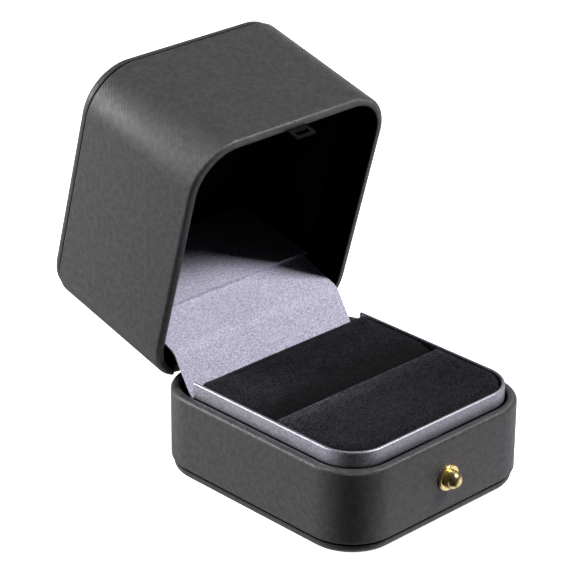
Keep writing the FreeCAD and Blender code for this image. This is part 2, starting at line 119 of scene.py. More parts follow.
def plan_sweep_tree():
    """Sweeps a section round a rectangle with rounded corners, and lays a map along both."""
    tree = bpy.data.node_groups.new("plan_sweep", "GeometryNodeTree")
    tree.is_modifier = True
    group_input(tree, "Geometry", "NodeSocketGeometry")
    for name in ("Width", "Depth", "Corner Radius", "Round"):
        group_input(tree, name, "NodeSocketFloat")
    group_input(tree, "Corner Steps", "NodeSocketInt")
    group_input(tree, "Finish", "NodeSocketMaterial")
    tree.interface.new_socket("Geometry", in_out="OUTPUT", socket_type="NodeSocketGeometry")
    new, join = tree.nodes.new, tree.links.new
    given = new("NodeGroupInput").outputs
    plan = new("GeometryNodeCurvePrimitiveQuadrilateral")
    join(given["Width"], plan.inputs["Width"])
    join(given["Depth"], plan.inputs["Height"])
    fillet = new("GeometryNodeFilletCurve")
    fillet.mode = "POLY"
    join(plan.outputs["Curve"], fillet.inputs["Curve"])
    join(given["Corner Steps"], fillet.inputs["Count"])
    join(given["Corner Radius"], fillet.inputs["Radius"])
    section = new("GeometryNodeMeshToCurve")
    join(given["Geometry"], section.inputs["Mesh"])

    def with_length(curve):
        """Notes each point's length along its curve, for the map."""
        capture = new("GeometryNodeCaptureAttribute")
        capture.capture_items.new("FLOAT", "length")
        join(curve, capture.inputs["Geometry"])
        join(new("GeometryNodeSplineParameter").outputs["Length"], capture.inputs[1])
        return capture.outputs

    round_plan = with_length(fillet.outputs["Curve"])
    along_section = with_length(section.outputs["Curve"])
    sweep = new("GeometryNodeCurveToMesh")
    join(round_plan[0], sweep.inputs["Curve"])
    join(along_section[0], sweep.inputs["Profile Curve"])

    def maths(operation, *inputs):
        node = new("ShaderNodeMath")
        node.operation = operation
        for socket, value in zip(node.inputs, inputs):
            if isinstance(value, (int, float)):
                socket.default_value = value
            else:
                join(value, socket)
        return node.outputs[0]

    # The face that closes the ring runs from the full length back to zero, so its far
    # corners get the length round the plan added.
    on_face = new("GeometryNodeFieldOnDomain")
    on_face.domain = "FACE"
    join(round_plan[1], on_face.inputs[0])
    behind = maths("SUBTRACT", on_face.outputs[0], round_plan[1])
    quarter = maths("MULTIPLY", given["Round"], 0.25)
    wrapped = maths("MULTIPLY", maths("GREATER_THAN", behind, quarter), given["Round"])
    place = new("ShaderNodeCombineXYZ")
    join(maths("ADD", round_plan[1], wrapped), place.inputs[0])
    join(along_section[1], place.inputs[1])
    store = new("GeometryNodeStoreNamedAttribute")
    store.data_type = "FLOAT2"
    store.domain = "CORNER"
    store.inputs["Name"].default_value = "UVMap"
    join(sweep.outputs["Mesh"], store.inputs["Geometry"])
    join(place.outputs[0], store.inputs["Value"])
    realize = new("GeometryNodeRealizeInstances")
    join(store.outputs["Geometry"], realize.inputs["Geometry"])
    finish = new("GeometryNodeSetMaterial")
    join(realize.outputs["Geometry"], finish.inputs["Geometry"])
    join(given["Finish"], finish.inputs["Material"])
    join(finish.outputs["Geometry"], new("NodeGroupOutput").inputs["Geometry"])
    return tree


def set_inputs(modifier, values):
    """Sets a tree's inputs by their sockets' identifiers."""
    sockets = {s.name: s.identifier for s in modifier.node_group.interface.items_tree if s.in_out == "INPUT"}
    for name, value in values.items():
        modifier[sockets[name]] = value


def add_object(name, mesh):
    piece = bpy.data.objects.new(name, mesh)
    scene.collection.objects.link(piece)
    return piece


def bake(piece):
    """Makes the piece's modifiers part of a plain mesh."""
    depsgraph = bpy.context.evaluated_depsgraph_get()
    mesh = bpy.data.meshes.new_from_object(piece.evaluated_get(depsgraph),
                                           preserve_all_data_layers=True, depsgraph=depsgraph)
    piece.modifiers.clear()
    piece.data = mesh
    return piece


def smooth_shaded(piece, sharp=40):
    piece.data.shade_smooth()
    piece.data.set_sharp_from_angle(angle=math.radians(sharp))
    return piece


def swept(name, section, size, finish, closed=True, turned_over=None):
    """A section swept round the plan. Heights run up from z = 0, or down from turned_over."""
    points = [(point[0], -point[1], 0) for point in section]
    edges = [(i, i + 1) for i in range(len(points) - 1)] + ([(len(points) - 1, 0)] if closed else [])
    mesh = bpy.data.meshes.new(name)
    mesh.from_pydata(points, edges, [])
    piece = add_object(name, mesh)
    modifier = piece.modifiers.new("sweep", "NODES")
    modifier.node_group = plan_sweep
    straight = 2 * (size[0] + size[1]) - 8 * corner_radius
    set_inputs(modifier, {
        "Width": size[0], "Depth": size[1], "Corner Radius": corner_radius,
        "Round": straight + 2 * math.pi * corner_radius, "Corner Steps": 24, "Finish": finish,
    })
    bake(piece)
    if turned_over is not None:
        piece.data.transform(Matrix.Translation((0, 0, turned_over)) @ Matrix.Scale(-1, 4, (0, 0, 1)))
    return piece


def fill_ends(piece):
    """Closes open loops, such as the middle of a plate."""
    shape = bmesh.new()
    shape.from_mesh(piece.data)
    loops = [edge for edge in shape.edges if edge.is_boundary]
    bmesh.ops.holes_fill(shape, edges=loops, sides=0)
    shape.to_mesh(piece.data)
    shape.free()
    return piece


def facing_out(piece):
    """Turns every face outwards, and maps the level faces straight from above."""
    shape = bmesh.new()
    shape.from_mesh(piece.data)
    bmesh.ops.recalc_face_normals(shape, faces=shape.faces)
    chart = shape.loops.layers.uv["UVMap"]
    for face in shape.faces:
        if abs(face.normal.z) > 0.9999:
            for loop in face.loops:
                loop[chart].uv = loop.vert.co.xy
    shape.to_mesh(piece.data)
    shape.free()
    return piece


def block(low, high):
    """A plain block, used only as a cutter."""
    shape = bmesh.new()
    bmesh.ops.create_cube(shape, size=1)
    low, high = Vector(low), Vector(high)
    place = Matrix.Translation((low + high) / 2) @ Matrix.Diagonal((*(high - low), 1))
    bmesh.ops.transform(shape, matrix=place, verts=shape.verts)
    mesh = bpy.data.meshes.new("cutter")
    shape.to_mesh(mesh)
    shape.free()
    return add_object("cutter", mesh)


def cut_away(piece, cutters):
    """Cuts the piece back with the cutters, which are then thrown away."""
    for cutter in cutters:
        modifier = piece.modifiers.new("cut", "BOOLEAN")
        modifier.operation = "DIFFERENCE"
        modifier.solver = "EXACT"
        modifier.object = cutter
    bake(piece)
    for cutter in cutters:
        bpy.data.objects.remove(cutter)
    return piece


def note_points(piece, name, values):
    """Stores one value for each point, for its material to read."""
    attribute = piece.data.attributes.new(name, "FLOAT", "POINT")
    attribute.data.foreach_set("value", values)


def mark_wear_and_painted_light(piece, painted_shade, full=0.16):
    """Notes how far each bend is lightened, as handling wear and as a painted highlight, and how far each
    point lies in painted shade.
    """
    shape = bmesh.new()
    shape.from_mesh(piece.data)
    bend = [max([edge.calc_face_angle(0) for edge in vertex.link_edges], default=0) for vertex in shape.verts]
    painted_shade_levels = [painted_shade(vertex.co) for vertex in shape.verts]
    shape.free()
    note_points(piece, "wear_and_painted_highlight", [min(angle / full, 1) * (1 - depth) for angle, depth in zip(bend, painted_shade_levels)])
    note_points(piece, "painted_shade", painted_shade_levels)
    return piece


def stands_for(piece, body, slot, *cad_nodes):
    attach(piece, body)
    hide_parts(*cad_nodes)
    return piece


class Recipe:
    """Short calls for building one material's nodes."""

    def __init__(self, name):
        self.material = bpy.data.materials.new(name)
        self.material.use_nodes = True
        self.tree = self.material.node_tree
        self.shader = self.tree.nodes["Principled BSDF"]

    def node(self, kind, **inputs):
        node = self.tree.nodes.new(kind)
        for name, value in inputs.items():
            self.give(node.inputs[name.replace("_", " ")], value)
        return node

    def give(self, socket, value):
        if isinstance(value, bpy.types.NodeSocket):
            self.tree.links.new(value, socket)
        else:
            socket.default_value = value

    def sum(self, operation, *values):
        node = self.node("ShaderNodeMath")
        node.operation = operation
        for socket, value in zip(node.inputs, values):
            self.give(socket, value)
        return node.outputs[0]

    def map(self):
        """The piece's own map, in metres."""
        split = self.node("ShaderNodeSeparateXYZ")
        self.give(split.inputs[0], self.node("ShaderNodeUVMap").outputs[0])
        return split.outputs[0], split.outputs[1]

    def place(self):
        return self.node("ShaderNodeTexCoord").outputs["Object"]

    def attribute(self, name):
        node = self.node("ShaderNodeAttribute")
        node.attribute_name = name
        return node.outputs["Fac"]

    def noise(self, vector, size, detail=2.0, stretch=(1, 1, 1)):
        """Noise whose grain is about size across."""
        mapping = self.node("ShaderNodeMapping", Vector=vector, Scale=[k / size for k in stretch])
        texture = self.node("ShaderNodeTexNoise", Vector=mapping.outputs[0], Scale=1.0, Detail=detail)
        return texture.outputs["Fac"]

    def ramp(self, value, low, high, floor=0.0, top=1.0):
        node = self.node("ShaderNodeMapRange", Value=value,
                         From_Min=low, From_Max=high, To_Min=floor, To_Max=top)
        node.interpolation_type = "SMOOTHSTEP"
        return node.outputs[0]

    def blend(self, value, first, second):
        node = self.tree.nodes.new("ShaderNodeMix")
        node.data_type = "RGBA"
        self.give(node.inputs["Factor"], value)
        self.give(node.inputs[6], first)
        self.give(node.inputs[7], second)
        return node.outputs[2]

    def bumps(self, *layers):
        """Stacks (height, depth in metres) layers into the shader's normal."""
        normal = None
        for height, depth in layers:
            bump = self.node("ShaderNodeBump", Height=height, Distance=depth)
            if normal is not None:
                self.give(bump.inputs["Normal"], normal)
            normal = bump.outputs[0]
        self.give(self.shader.inputs["Normal"], normal)

    def finish(self, **values):
        for name, value in values.items():
            self.give(self.shader.inputs[name.replace("_", " ")], value)
        return self.material


def leatherette_material():
    """Coated cloth: a fine crossed emboss, pores, rims polished by handling and lightened as a painted
    highlight, and painted shade in the grooves and inside the rim.
    """
    made = Recipe("leatherette")
    along, across = made.map()
    place = made.place()
    pitch, cross_pitch = 0.55 * MM, 0.4 * MM
    drift = made.sum("MULTIPLY", made.noise(place, 6.0 * MM, 1.0), 0.2 * MM)
    rising = made.sum("ADD", made.sum("ADD", along, across), drift)
    falling = made.sum("SUBTRACT", along, across)
    ridge = made.sum("SINE", made.sum("MULTIPLY", rising, 2 * math.pi / pitch))
    cross = made.sum("SINE", made.sum("MULTIPLY", falling, 2 * math.pi / cross_pitch))
    emboss = made.sum("MULTIPLY", made.ramp(ridge, -0.9, 0.9), made.ramp(cross, -1.0, 1.0, 0.75, 1.0))
    grain = made.noise(place, 0.13 * MM, 2.0)
    wear_and_painted_highlight = made.attribute("wear_and_painted_highlight")
    rubbed_and_painted_highlight = made.sum("MULTIPLY", wear_and_painted_highlight, made.ramp(made.noise(place, 1.3 * MM), 0.3, 0.7, 0.5, 1.0))
    shaded = made.attribute("painted_shade")
    tone = made.sum("ADD", made.sum("MULTIPLY", grain, 0.25), made.sum("MULTIPLY", emboss, 0.75))
    cloth = made.blend(made.ramp(tone, 0.15, 0.85), (0.010, 0.0097, 0.0105, 1), (0.034, 0.0335, 0.035, 1))
    # The bends are lightened both as handling wear and as a painted highlight on the rims.
    colour = made.blend(rubbed_and_painted_highlight, cloth, (0.085, 0.083, 0.085, 1))
    # Painted shade: near black where the points are marked as shaded, in the foot grooves and inside the rim;
    # further down the shine is taken away there too.
    colour = made.blend(shaded, colour, (0.003, 0.003, 0.003, 1))
    made.bumps((emboss, 0.06 * MM), (grain, 0.008 * MM))
    rough = made.sum("SUBTRACT", made.ramp(grain, 0.3, 0.7, 0.40, 0.52), made.sum("MULTIPLY", rubbed_and_painted_highlight, 0.12))
    gloss = made.ramp(shaded, 0.0, 1.0, 0.5, 0.0)
    return made.finish(Base_Color=colour, Roughness=rough, Specular_IOR_Level=gloss)


def wall_section(height, turn_in, foot):
    """Section of one wall's wrap, from the tuck under its foot, over the rim and down inside."""
    inside, glued = -wall, wrap - wall
    return filleted([
        (-tucked_under, foot, 0),
        (0, foot, groove_rounding),
        (0, height, rim_rounding),
        (inside, height, rim_rounding),
        (inside, height - turn_in, 0.15 * MM),
        (glued, height - turn_in, 0),
        (glued, height - wrap, rim_rounding - wrap),
        (-wrap, height - wrap, rim_rounding - wrap),
        (-wrap, foot + wrap, 0),
        (-tucked_under, foot + wrap, 0),
    ])


def inset_of(point):
    """How far inside the wall's outer face a point lies."""
    over_x = abs(point.x) - (plan_size[0] / 2 - corner_radius)
    over_y = abs(point.y) - (plan_size[1] / 2 - corner_radius)
    outside = math.hypot(max(over_x, 0), max(over_y, 0))
    return corner_radius - outside - min(max(over_x, over_y), 0)


def fade(value, none, full):
    """0 at none, 1 at full, and even between them."""
    return min(max((value - none) / (full - none), 0), 1)


plan_sweep = plan_sweep_tree()
leatherette = leatherette_material()

base_low, base_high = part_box("base_leatherette")
foot_line = base_low.z
base_rim = base_high.z
plan_size = (base_high.x - base_low.x, base_high.y - base_low.y)
front_face = base_low.y
back_face = base_high.y
pin_low, pin_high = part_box("hinge_pin")
strike_low, strike_high = shut_box("lid_strike")
above = base_rim + 5 * MM
inner_back = back_face - wall - 1 * MM

base_wrap = swept("base_wrap", wall_section(base_rim, base_turn_in, foot_line), plan_size, leatherette)
facing_out(base_wrap)
barrel_room = 1.5 * MM
cut_away(base_wrap, [
    block((pin_low.x - cut_clearance, inner_back, hinge_axis.z - barrel_room),
          (pin_high.x + cut_clearance, back_face + wall, above)),
    block((strike_low.x - cut_clearance, strike_low.y - strike_clearance, strike_low.z - cut_clearance),
          (strike_high.x + cut_clearance, strike_low.y + 2 * MM, above)),
])
# Painted shade at the very foot of the wall, and on the rim's inner side where the wrap turns in.
mark_wear_and_painted_light(smooth_shaded(base_wrap), lambda point: max(
    fade(point.z, foot_line + 0.12 * MM, foot_line + 0.02 * MM),
    fade(inset_of(point), 1.85 * MM, 2.4 * MM),
))
stands_for(base_wrap, "base", "leatherette", "base_leatherette")

lid_rim = shut_box("lid_leatherette")[0].z
lid_top = shut_box("lid_top_leatherette")[1].z
lid_height = lid_top - lid_rim
relief_inset = 7.0 * MM
relief_height = 1.85 * MM

lid_wrap = swept("lid_wrap", wall_section(lid_height, lid_turn_in, foot_line), plan_size, leatherette,
                 turned_over=lid_top)
facing_out(lid_wrap)
seat_margin = 0.2 * MM
cut_away(lid_wrap, [
    block((relief_inset - plan_size[0] / 2, inner_back, lid_rim - wall),
          (plan_size[0] / 2 - relief_inset, back_face + wall, lid_rim + relief_height)),
    block((strike_low.x - seat_margin, strike_low.y, lid_rim - wall),
          (strike_high.x + seat_margin, strike_low.y + 2 * MM, strike_high.z + seat_margin)),
])
# Painted shade at the very foot of the lid's wall, and on the rim's inner side where the wrap turns in.
mark_wear_and_painted_light(smooth_shaded(lid_wrap), lambda point: max(
    fade(lid_top - point.z, foot_line + 0.12 * MM, foot_line + 0.02 * MM),
    fade(inset_of(point), 1.75 * MM, 2.0 * MM),
))
lid_wrap.data.transform(to_open)
stands_for(lid_wrap, "lid", "leatherette", "lid_leatherette")

# The two wrapped plates that close the underside and the top. Each is a board with leatherette
# drawn over its rounded edge and turned in on the hidden face, glued a step inside the wall so
# that a fine groove runs round the box.

plate_step = 0.6 * MM
plate_edge = 1.7 * MM
plate_turn_in = 7.0 * MM
plate_middle = 11.4 * MM
groove_shade = 0.75 * MM


def wrapped_plate(name, turned_over=None):
    side, inner = -plate_step, -plate_step - wrap
    hidden = -plate_step - plate_turn_in
    section = filleted([
        (-plate_middle, 0, 0),
        (side, 0, plate_edge),
        (side, foot_line - groove_shade, 0),
        (side, foot_line, groove_rounding),
        (hidden, foot_line, 0),
        (hidden, foot_line - wrap, 0),
        (inner, foot_line - wrap, 0.1 * MM),
        (inner, wrap, plate_edge - wrap),
        (-plate_middle, wrap, 0),
    ], steps=8)
    plate = swept(name, section, plan_size, leatherette, closed=False, turned_over=turned_over)
    smooth_shaded(facing_out(fill_ends(plate)))

    # Painted shade on the plate's edge in the narrow gap under the wall's foot.
    def painted_shade(point):
        up = point.z if turned_over is None else turned_over - point.z
        return fade(up, foot_line - groove_shade, foot_line - groove_rounding)

    return mark_wear_and_painted_light(plate, painted_shade)


stands_for(wrapped_plate("bottom_wrap"), "base", "leatherette", "bottom_leatherette")
lid_plate = wrapped_plate("lid_top_wrap", turned_over=lid_top)
lid_plate.data.transform(to_open)
stands_for(lid_plate, "lid", "leatherette", "lid_top_leatherette")

# The moulded tub walls under the leatherette, in black styrene straight from the mould. They
# show only in the hinge and strike cut-outs, with the fine texture of the tool on them.


def moulded_material():
    made = Recipe("moulded_styrene")
    place = made.place()
    texture = made.noise(place, 0.25 * MM, 3.0)
    clouds = made.noise(place, 6.0 * MM, 2.0)
    colour = made.blend(made.ramp(clouds, 0.3, 0.7), (0.012, 0.012, 0.013, 1), (0.022, 0.022, 0.024, 1))
    made.bumps((texture, 0.015 * MM))
    return made.finish(Base_Color=colour, Roughness=made.ramp(texture, 0.3, 0.7, 0.48, 0.66))


def dress(material, *names):
    """Gives CAD nodes that keep their own shape a finish."""
    for name in names:
        nodes[name].data.materials.clear()
        nodes[name].data.materials.append(material)


dress(moulded_material(), "base_frame", "lid_frame")

# Boards and cards: the pressed grey boards in the two plates, the folded tray under the insert,
# and the strip inside the collar. All are cut from sheet, with flecks of fibre through them.


def board_material(name, light, dark):
    made = Recipe(name)
    place = made.place()
    fibre = made.noise(place, 0.5 * MM, 4.0, stretch=(1, 3, 3))
    fleck = made.noise(place, 0.2 * MM, 2.0)
    colour = made.blend(made.ramp(fibre, 0.35, 0.65), dark, light)
    colour = made.blend(made.ramp(fleck, 0.66, 0.72), colour, (0.12, 0.11, 0.10, 1))
    made.bumps((fibre, 0.03 * MM), (fleck, 0.02 * MM))
    return made.finish(Base_Color=colour, Roughness=made.ramp(fibre, 0.3, 0.7, 0.78, 0.92))


greyboard = board_material("greyboard", (0.20, 0.19, 0.17, 1), (0.13, 0.125, 0.115, 1))
dress(greyboard, "bottom_board", "lid_top_board", "insert_tray")
dress(board_material("white_card", (0.55, 0.54, 0.51, 1), (0.42, 0.41, 0.39, 1)), "collar_board")

# The collar: silver-grey satin glued over a thin card strip that stands above the rim round the
# front and sides. It is open at the back, and its top edge is rolled over to the velvet.

collar_low, collar_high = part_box("collar_satin")
collar_out = collar_low.x - base_low.x
collar_thickness = 0.9 * MM
satin_skin = 0.2 * MM
shade_top = base_rim - 0.05 * MM
shade_foot = base_rim - 0.5 * MM


def satin_material(name, light, dark, gloss, relief, rough):
    """Satin weave: a steep fine twill, threads of uneven brightness, and a metallic sheen."""
    made = Recipe(name)
    along, across = made.map()
    place = made.place()
    pitch = 0.36 * MM
    twill = made.sum("ADD", made.sum("MULTIPLY", along, 0.5), made.sum("MULTIPLY", across, 0.87))
    twill = made.sum("SINE", made.sum("MULTIPLY", twill, 2 * math.pi / pitch))
    threads = made.noise(place, 0.22 * MM, 3.0)
    slub = made.noise(place, 0.45 * MM, 2.0)
    clouds = made.noise(place, 7.0 * MM, 1.0)
    glint = made.sum("ADD", made.sum("MULTIPLY", threads, 0.65), made.sum("MULTIPLY", slub, 0.35))
    colour = made.blend(made.ramp(glint, 0.36, 0.64), dark, light)
    colour = made.blend(made.ramp(clouds, 0.3, 0.7, 0.0, 0.1), colour, dark)
    # Painted shade: near black and without shine where the points are marked as shaded, on the collar's lower
    # band.
    shaded = made.attribute("painted_shade")
    colour = made.blend(shaded, colour, (0.01, 0.01, 0.012, 1))
    made.bumps((made.ramp(twill, -0.9, 0.9), relief), (threads, relief))
    roughness = made.ramp(threads, 0.3, 0.7, rough, rough + 0.14)
    return made.finish(Base_Color=colour, Roughness=roughness, Metallic=gloss,
                       Specular_IOR_Level=made.ramp(shaded, 0.0, 1.0, 0.3, 0.0))


satin = satin_material("satin", (0.86, 0.835, 1.0, 1), (0.34, 0.325, 0.45, 1), 0.10, 0.03 * MM, 0.62)
# The satin on the card is the same cloth as the flap's, smoother and shinier on its backing, and given darker
# colours as painted shade.
satin_on_card_painted_darker = satin_material("satin_on_card", (0.56, 0.55, 0.62, 1), (0.26, 0.255, 0.30, 1),
                               0.7, 0.006 * MM, 0.38)
outer, inner = -collar_out, -collar_out - collar_thickness
collar = swept("collar_cover", filleted([
    (outer, collar_low.z, 0),
    (outer, shade_foot, 0),
    (outer, shade_top, 0),
    (outer, collar_high.z, 0.42 * MM),
    (inner, collar_high.z, 0.42 * MM),
    (inner, collar_low.z, 0),
    (inner + satin_skin, collar_low.z, 0),
    (inner + satin_skin, collar_high.z - satin_skin, 0.22 * MM),
    (outer - satin_skin, collar_high.z - satin_skin, 0.22 * MM),
    (outer - satin_skin, collar_low.z, 0),
]), plan_size, satin_on_card_painted_darker)
facing_out(collar)
catch_low, catch_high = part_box("catch_plate")
pocket_depth = 8 * MM
pocket_headroom = 0.15 * MM
cut_away(collar, [
    block((base_low.x, collar_high.y, 0), (base_high.x, back_face, above)),
    block((catch_low.x - MM, front_face, 0),
          (catch_high.x + MM, front_face + pocket_depth, catch_high.z + pocket_headroom)),
])
smooth_shaded(collar)
# Painted shade on the collar's foot, going near black from the height of the rim downwards.
note_points(collar, "painted_shade", [fade(v.co.z, shade_top, shade_foot) for v in collar.data.vertices])
stands_for(collar, "base", "satin", "collar_satin")

# The ring insert: two foam bars wrapped in black velvet, with the slot for the ring's shank
# between them. The front bar keeps a crisp lip at the slot and the rear bar rolls down into it.
# Both are pushed into the collar, so the foam swells a little above and between its edges.

roll_squeeze = 0.18 * MM
roll_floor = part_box("front_velvet_roll")[0].z
velvet_voxel = 0.5 * MM
swell_limit = 0.3 * MM
sim_scale = 20.0


def roll_ring(low, high, radii, inset, rounding, top):
    """One ring of a roll's top, so far inside its outline, with each side rounded by its own radius."""
    points = []
    corners = [(1, 1), (-1, 1), (-1, -1), (1, -1)]
    side_steps = (64, 28, 64, 28)
    # Sides in order: back, left, front, right. A corner lies between two of them.
    for k, (sx, sy) in enumerate(corners):
        before, after = rounding[k - 1], rounding[k]
        radius = max(radii[k] - inset, 0.02 * MM)
        x = (high[0] if sx > 0 else low[0]) - sx * (inset + radius)
        y = (high[1] if sy > 0 else low[1]) - sy * (inset + radius)
        start = math.pi / 2 * k
        for step in range(13):
            share = step / 12
            angle = start + math.pi / 2 * share
            at = Vector((x + radius * math.cos(angle), y + radius * math.sin(angle)))
            points.append((at, before + (after - before) * share))
        points.append(side_steps[k])
    ring = []
    count = len(points)
    for i, entry in enumerate(points):
        if isinstance(entry, int):
            a, b = points[i - 1], points[(i + 1) % count]
            ring += [(a[0].lerp(b[0], s / entry), a[1]) for s in range(1, entry)]
        else:
            ring.append(entry)
    heights = []
    for at, edge in ring:
        drop = 0 if inset >= edge else edge - math.sqrt(max(edge ** 2 - (edge - inset) ** 2, 0))
        heights.append(Vector((at.x, at.y, top(at) - drop)))
    return heights


def roll_body(name, low, high, radii, rounding, top):
    """A closed bar: a floor, upright sides and a top that rounds down to them."""
    deepest = (high[1] - low[1]) / 2 - 0.3 * MM
    insets = [0, 0.03, 0.1, 0.22, 0.4, 0.7, 1.1, 1.6, 2.2, 3.0, 4.2, 5.5, 7.2, 9.2]
    insets = [k * MM for k in insets if k * MM < deepest] + [deepest]
    rings = [roll_ring(low, high, radii, inset, rounding, top) for inset in insets]
    rings.insert(0, [Vector((p.x, p.y, roll_floor)) for p in rings[0]])
    shape = bmesh.new()
    made = [[shape.verts.new(p) for p in ring] for ring in rings]
    count = len(made[0])
    for lower, upper in zip(made, made[1:]):
        for i in range(count):
            shape.faces.new((lower[i], lower[(i + 1) % count], upper[(i + 1) % count], upper[i]))
    shape.faces.new(list(reversed(made[0])))
    shape.faces.new(made[-1])
    bmesh.ops.recalc_face_normals(shape, faces=shape.faces)
    mesh = bpy.data.meshes.new(name)
    shape.to_mesh(mesh)
    shape.free()
    return add_object(name, mesh)


def swell(piece, voxel, limit, pressure=4.0):
    """Blows the foam up a little inside its cover, and lets no point move past the limit."""
    remesh = piece.modifiers.new("remesh", "REMESH")
    remesh.mode = "VOXEL"
    remesh.voxel_size = voxel
    bake(piece)
    start = [vertex.co.copy() for vertex in piece.data.vertices]
    piece.data.transform(Matrix.Scale(sim_scale, 4))
    cloth = piece.modifiers.new("cloth", "CLOTH")
    cloth.settings.use_pressure = True
    cloth.settings.uniform_pressure_force = pressure
    cloth.settings.tension_stiffness = 30
    cloth.settings.compression_stiffness = 30
    cloth.settings.bending_stiffness = 2
    cloth.settings.effector_weights.gravity = 0
    cloth.point_cache.frame_start = 1
    cloth.point_cache.frame_end = 14
    for step in range(1, 15):
        scene.frame_set(step)
    bake(piece)
    scene.frame_set(1)
    piece.data.transform(Matrix.Scale(1 / sim_scale, 4))
    for vertex, home in zip(piece.data.vertices, start):
        moved = vertex.co - home
        if moved.length > limit:
            vertex.co = home + moved.normalized() * limit
    return piece


def velvet_material(name, dark, light, sheen):
    """Short cut pile: nearly black, brushed a little lighter in patches, and furry at the rim; a value stored
    on each point scales its colour, for painted highlight and painted shade.
    """
    made = Recipe(name)
    place = made.place()
    pile = made.noise(place, 0.42 * MM, 4.0)
    brushed = made.noise(place, 4.0 * MM, 2.0, stretch=(1, 1.6, 1))
    tone = made.sum("ADD", made.sum("MULTIPLY", pile, 0.85), made.sum("MULTIPLY", brushed, 0.15))
    colour = made.blend(made.ramp(tone, 0.40, 0.60), dark, light)
    # Scales the colour by the value stored on each point: painted highlight and painted shadow on the bars by
    # the slot, plain elsewhere.
    lean = made.node("ShaderNodeVectorMath")
    lean.operation = "SCALE"
    made.give(lean.inputs[0], colour)
    made.give(lean.inputs["Scale"], made.attribute("nap_and_painted_light"))
    colour = lean.outputs[0]
    made.bumps((brushed, 0.06 * MM), (pile, 0.12 * MM))
    return made.finish(Base_Color=colour, Roughness=made.ramp(pile, 0.3, 0.7, 0.82, 0.96),
                       Specular_IOR_Level=0.15, Sheen_Weight=sheen, Sheen_Roughness=0.35,
                       Sheen_Tint=(0.75, 0.78, 1.0, 1))


def pile_tree():
    """Scatters short leaning fibres over the upper faces of a velvet piece."""
    tree = bpy.data.node_groups.new("velvet_pile", "GeometryNodeTree")
    tree.is_modifier = True
    group_input(tree, "Geometry", "NodeSocketGeometry")
    for name in ("Density", "Length", "Thickness", "Lean"):
        group_input(tree, name, "NodeSocketFloat")
    group_input(tree, "Seed", "NodeSocketInt")
    group_input(tree, "Finish", "NodeSocketMaterial")
    tree.interface.new_socket("Geometry", in_out="OUTPUT", socket_type="NodeSocketGeometry")
    new, join = tree.nodes.new, tree.links.new
    given = new("NodeGroupInput").outputs
    normal = new("ShaderNodeSeparateXYZ")
    join(new("GeometryNodeInputNormal").outputs[0], normal.inputs[0])
    upper = new("FunctionNodeCompare")
    upper.inputs[1].default_value = 0.15
    join(normal.outputs[2], upper.inputs[0])
    scatter = new("GeometryNodeDistributePointsOnFaces")
    join(given["Geometry"], scatter.inputs["Mesh"])
    join(upper.outputs[0], scatter.inputs["Selection"])
    join(given["Density"], scatter.inputs["Density"])
    join(given["Seed"], scatter.inputs["Seed"])
    fibre = new("GeometryNodeMeshCone")
    fibre.inputs["Vertices"].default_value = 3
    fibre.fill_type = "NONE"
    join(given["Thickness"], fibre.inputs["Radius Bottom"])
    join(given["Length"], fibre.inputs["Depth"])
    lean = new("FunctionNodeRandomValue")
    lean.data_type = "FLOAT_VECTOR"
    back = new("ShaderNodeMath")
    back.operation = "MULTIPLY"
    back.inputs[1].default_value = -1
    join(given["Lean"], back.inputs[0])
    join(back.outputs[0], lean.inputs[0])
    join(given["Lean"], lean.inputs[1])
    join(given["Seed"], lean.inputs["Seed"])
    turn = new("FunctionNodeRotateRotation")
    turn.rotation_space = "LOCAL"
    join(scatter.outputs["Rotation"], turn.inputs["Rotation"])
    join(lean.outputs[0], turn.inputs["Rotate By"])
    place = new("GeometryNodeInstanceOnPoints")
    join(scatter.outputs["Points"], place.inputs["Points"])
    join(fibre.outputs["Mesh"], place.inputs["Instance"])
    join(turn.outputs[0], place.inputs["Rotation"])
    both = new("GeometryNodeJoinGeometry")
    join(given["Geometry"], both.inputs[0])
    join(place.outputs[0], both.inputs[0])
    realize = new("GeometryNodeRealizeInstances")
    join(both.outputs[0], realize.inputs[0])
    finish = new("GeometryNodeSetMaterial")
    join(realize.outputs[0], finish.inputs["Geometry"])
    join(given["Finish"], finish.inputs["Material"])
    join(finish.outputs[0], new("NodeGroupOutput").inputs[0])
    return tree


velvet = velvet_material("black_velvet", (0.003, 0.003, 0.004, 1), (0.032, 0.0325, 0.039, 1), 0.07)
velvet_pile = pile_tree()


def add_pile(piece, material, seed, density=9.0, length=0.28, lean=0.7):
    """Fibres per square millimetre, and their length in millimetres."""
    modifier = piece.modifiers.new("pile", "NODES")
    modifier.node_group = velvet_pile
    set_inputs(modifier, {
        "Density": density / MM ** 2, "Length": length * MM, "Thickness": 0.02 * MM,
        "Lean": lean, "Seed": seed, "Finish": material,
    })
    return bake(piece)


insert_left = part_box("front_velvet_roll")[0].x - roll_squeeze
insert_right = -insert_left
front_low, front_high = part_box("front_velvet_roll")
rear_low, rear_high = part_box("rear_velvet_roll")
collar_corner = corner_radius - (front_low.x - base_low.x)
roll_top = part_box("front_velvet_roll")[1].z


def front_top(at):
    """The front bar's top: level, and a little higher along the middle."""
    across = at.x / insert_right
    return roll_top - 0.22 * MM - 0.12 * MM * across ** 2


def rear_top(at):
    """The rear bar's top: level at the back, and falling towards the slot."""
    near_slot = max(0, 1 - (at.y - rear_low.y) / (7 * MM))
    across = at.x / insert_right
    return roll_top - 0.28 * MM - 0.12 * MM * across ** 2 - 2.0 * MM * near_slot ** 2


